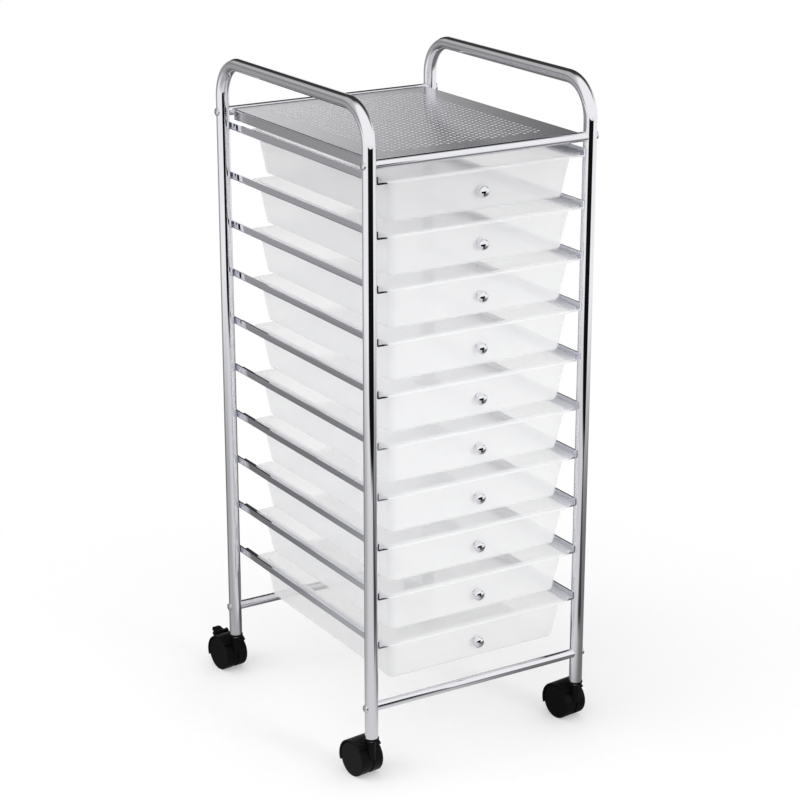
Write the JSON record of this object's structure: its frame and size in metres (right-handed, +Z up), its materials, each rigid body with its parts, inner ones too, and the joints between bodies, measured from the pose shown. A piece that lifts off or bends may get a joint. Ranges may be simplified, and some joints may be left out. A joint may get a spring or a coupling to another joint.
{
  "type": "rolling drawer cart",
  "caption": "Tall rolling utility cart: chrome tube frame with handles, perforated top shelf, translucent drawers on side rails and swivel casters.",
  "frame": {"origin": "floor level, under the middle of the box round the whole cart", "axes": "+Z up, -Y towards the drawer fronts, +X to the right as seen from the front"},
  "size_m": [0.373, 0.4547, 0.914],
  "materials": {
    "chrome_tube": "mirror-bright plated",
    "chrome_rail": "bright plated",
    "shelf_sheet": "bright plated perforated sheet",
    "bright_steel": "zinc plated",
    "drawer_plastic": "frosted translucent polypropylene",
    "chrome_knob": "mirror-bright plated",
    "black_plastic": "moulded",
    "wheel_plastic": "moulded, satin"
  },
  "bodies": {
    "frame": {"left_side_frame": "chrome_tube", "right_side_frame": "chrome_tube", "left_rails": "chrome_rail", "right_rails": "chrome_rail", "shelf_panel": "shelf_sheet", "shelf_front_tube": "chrome_tube", "shelf_rear_tube": "chrome_tube", "bottom_front_tube": "chrome_tube", "bottom_rear_tube": "chrome_tube", "frame_screws": "bright_steel", "tube_end_nuts": "bright_steel", "caster_sockets": "black_plastic"},
    "drawer_01": {"drawer_01_tray": "drawer_plastic", "drawer_01_knob": "chrome_knob", "drawer_01_knob_screw": "bright_steel"},
    "drawer_02": {"drawer_02_tray": "drawer_plastic", "drawer_02_knob": "chrome_knob", "drawer_02_knob_screw": "bright_steel"},
    "drawer_03": {"drawer_03_tray": "drawer_plastic", "drawer_03_knob": "chrome_knob", "drawer_03_knob_screw": "bright_steel"},
    "drawer_04": {"drawer_04_tray": "drawer_plastic", "drawer_04_knob": "chrome_knob", "drawer_04_knob_screw": "bright_steel"},
    "drawer_05": {"drawer_05_tray": "drawer_plastic", "drawer_05_knob": "chrome_knob", "drawer_05_knob_screw": "bright_steel"},
    "drawer_06": {"drawer_06_tray": "drawer_plastic", "drawer_06_knob": "chrome_knob", "drawer_06_knob_screw": "bright_steel"},
    "drawer_07": {"drawer_07_tray": "drawer_plastic", "drawer_07_knob": "chrome_knob", "drawer_07_knob_screw": "bright_steel"},
    "drawer_08": {"drawer_08_tray": "drawer_plastic", "drawer_08_knob": "chrome_knob", "drawer_08_knob_screw": "bright_steel"},
    "drawer_09": {"drawer_09_tray": "drawer_plastic", "drawer_09_knob": "chrome_knob", "drawer_09_knob_screw": "bright_steel"},
    "drawer_10": {"drawer_10_tray": "drawer_plastic", "drawer_10_knob": "chrome_knob", "drawer_10_knob_screw": "bright_steel"},
    "front_left_caster": {"front_left_caster_hood": "black_plastic", "front_left_caster_stem": "bright_steel"},
    "front_left_wheels": {"front_left_caster_axle": "bright_steel", "front_left_caster_wheels": "wheel_plastic"},
    "front_right_caster": {"front_right_caster_hood": "black_plastic", "front_right_caster_stem": "bright_steel"},
    "front_right_wheels": {"front_right_caster_axle": "bright_steel", "front_right_caster_wheels": "wheel_plastic"},
    "rear_left_caster": {"rear_left_caster_hood": "black_plastic", "rear_left_caster_stem": "bright_steel"},
    "rear_left_wheels": {"rear_left_caster_axle": "bright_steel", "rear_left_caster_wheels": "wheel_plastic"},
    "rear_left_brake": {"rear_left_brake_lever": "black_plastic"},
    "rear_right_caster": {"rear_right_caster_hood": "black_plastic", "rear_right_caster_stem": "bright_steel"},
    "rear_right_wheels": {"rear_right_caster_axle": "bright_steel", "rear_right_caster_wheels": "wheel_plastic"},
    "rear_right_brake": {"rear_right_brake_lever": "black_plastic"}
  },
  "joints": [
    {"name": "drawer_01_slide", "type": "slide", "parent": "frame", "child": "drawer_01", "axis": [0, -1, 0], "range_m": [0, 0.24]},
    {"name": "drawer_02_slide", "type": "slide", "parent": "frame", "child": "drawer_02", "axis": [0, -1, 0], "range_m": [0, 0.24]},
    {"name": "drawer_03_slide", "type": "slide", "parent": "frame", "child": "drawer_03", "axis": [0, -1, 0], "range_m": [0, 0.24]},
    {"name": "drawer_04_slide", "type": "slide", "parent": "frame", "child": "drawer_04", "axis": [0, -1, 0], "range_m": [0, 0.24]},
    {"name": "drawer_05_slide", "type": "slide", "parent": "frame", "child": "drawer_05", "axis": [0, -1, 0], "range_m": [0, 0.24]},
    {"name": "drawer_06_slide", "type": "slide", "parent": "frame", "child": "drawer_06", "axis": [0, -1, 0], "range_m": [0, 0.24]},
    {"name": "drawer_07_slide", "type": "slide", "parent": "frame", "child": "drawer_07", "axis": [0, -1, 0], "range_m": [0, 0.24]},
    {"name": "drawer_08_slide", "type": "slide", "parent": "frame", "child": "drawer_08", "axis": [0, -1, 0], "range_m": [0, 0.24]},
    {"name": "drawer_09_slide", "type": "slide", "parent": "frame", "child": "drawer_09", "axis": [0, -1, 0], "range_m": [0, 0.24]},
    {"name": "drawer_10_slide", "type": "slide", "parent": "frame", "child": "drawer_10", "axis": [0, -1, 0], "range_m": [0, 0.24]},
    {"name": "front_left_swivel", "type": "hinge", "parent": "frame", "child": "front_left_caster", "pos_m": [-0.166, -0.2165, 0.06], "axis": [0, 0, 1], "continuous": true},
    {"name": "front_left_roll", "type": "hinge", "parent": "front_left_caster", "child": "front_left_wheels", "pos_m": [-0.16838, -0.19564, 0.024], "axis": [0.9936, 0.1132, 0], "continuous": true},
    {"name": "front_right_swivel", "type": "hinge", "parent": "frame", "child": "front_right_caster", "pos_m": [0.166, -0.2165, 0.06], "axis": [0, 0, 1], "continuous": true},
    {"name": "front_right_roll", "type": "hinge", "parent": "front_right_caster", "child": "front_right_wheels", "pos_m": [0.16362, -0.19564, 0.024], "axis": [0.9936, 0.1132, 0], "continuous": true},
    {"name": "rear_left_swivel", "type": "hinge", "parent": "frame", "child": "rear_left_caster", "pos_m": [-0.166, 0.1725, 0.06], "axis": [0, 0, 1], "continuous": true},
    {"name": "rear_left_roll", "type": "hinge", "parent": "rear_left_caster", "child": "rear_left_wheels", "pos_m": [-0.16838, 0.19337, 0.024], "axis": [0.9936, 0.1132, 0], "continuous": true},
    {"name": "rear_left_brake_pivot", "type": "hinge", "parent": "rear_left_caster", "child": "rear_left_brake", "pos_m": [-0.17063, 0.2131, 0.04767], "axis": [-0.9936, -0.1132, 0], "range_deg": [0, 22]},
    {"name": "rear_right_swivel", "type": "hinge", "parent": "frame", "child": "rear_right_caster", "pos_m": [0.166, 0.1725, 0.06], "axis": [0, 0, 1], "continuous": true},
    {"name": "rear_right_roll", "type": "hinge", "parent": "rear_right_caster", "child": "rear_right_wheels", "pos_m": [0.16362, 0.19337, 0.024], "axis": [0.9936, 0.1132, 0], "continuous": true},
    {"name": "rear_right_brake_pivot", "type": "hinge", "parent": "rear_right_caster", "child": "rear_right_brake", "pos_m": [0.16137, 0.2131, 0.04767], "axis": [-0.9936, -0.1132, 0], "range_deg": [0, 22]}
  ]
}
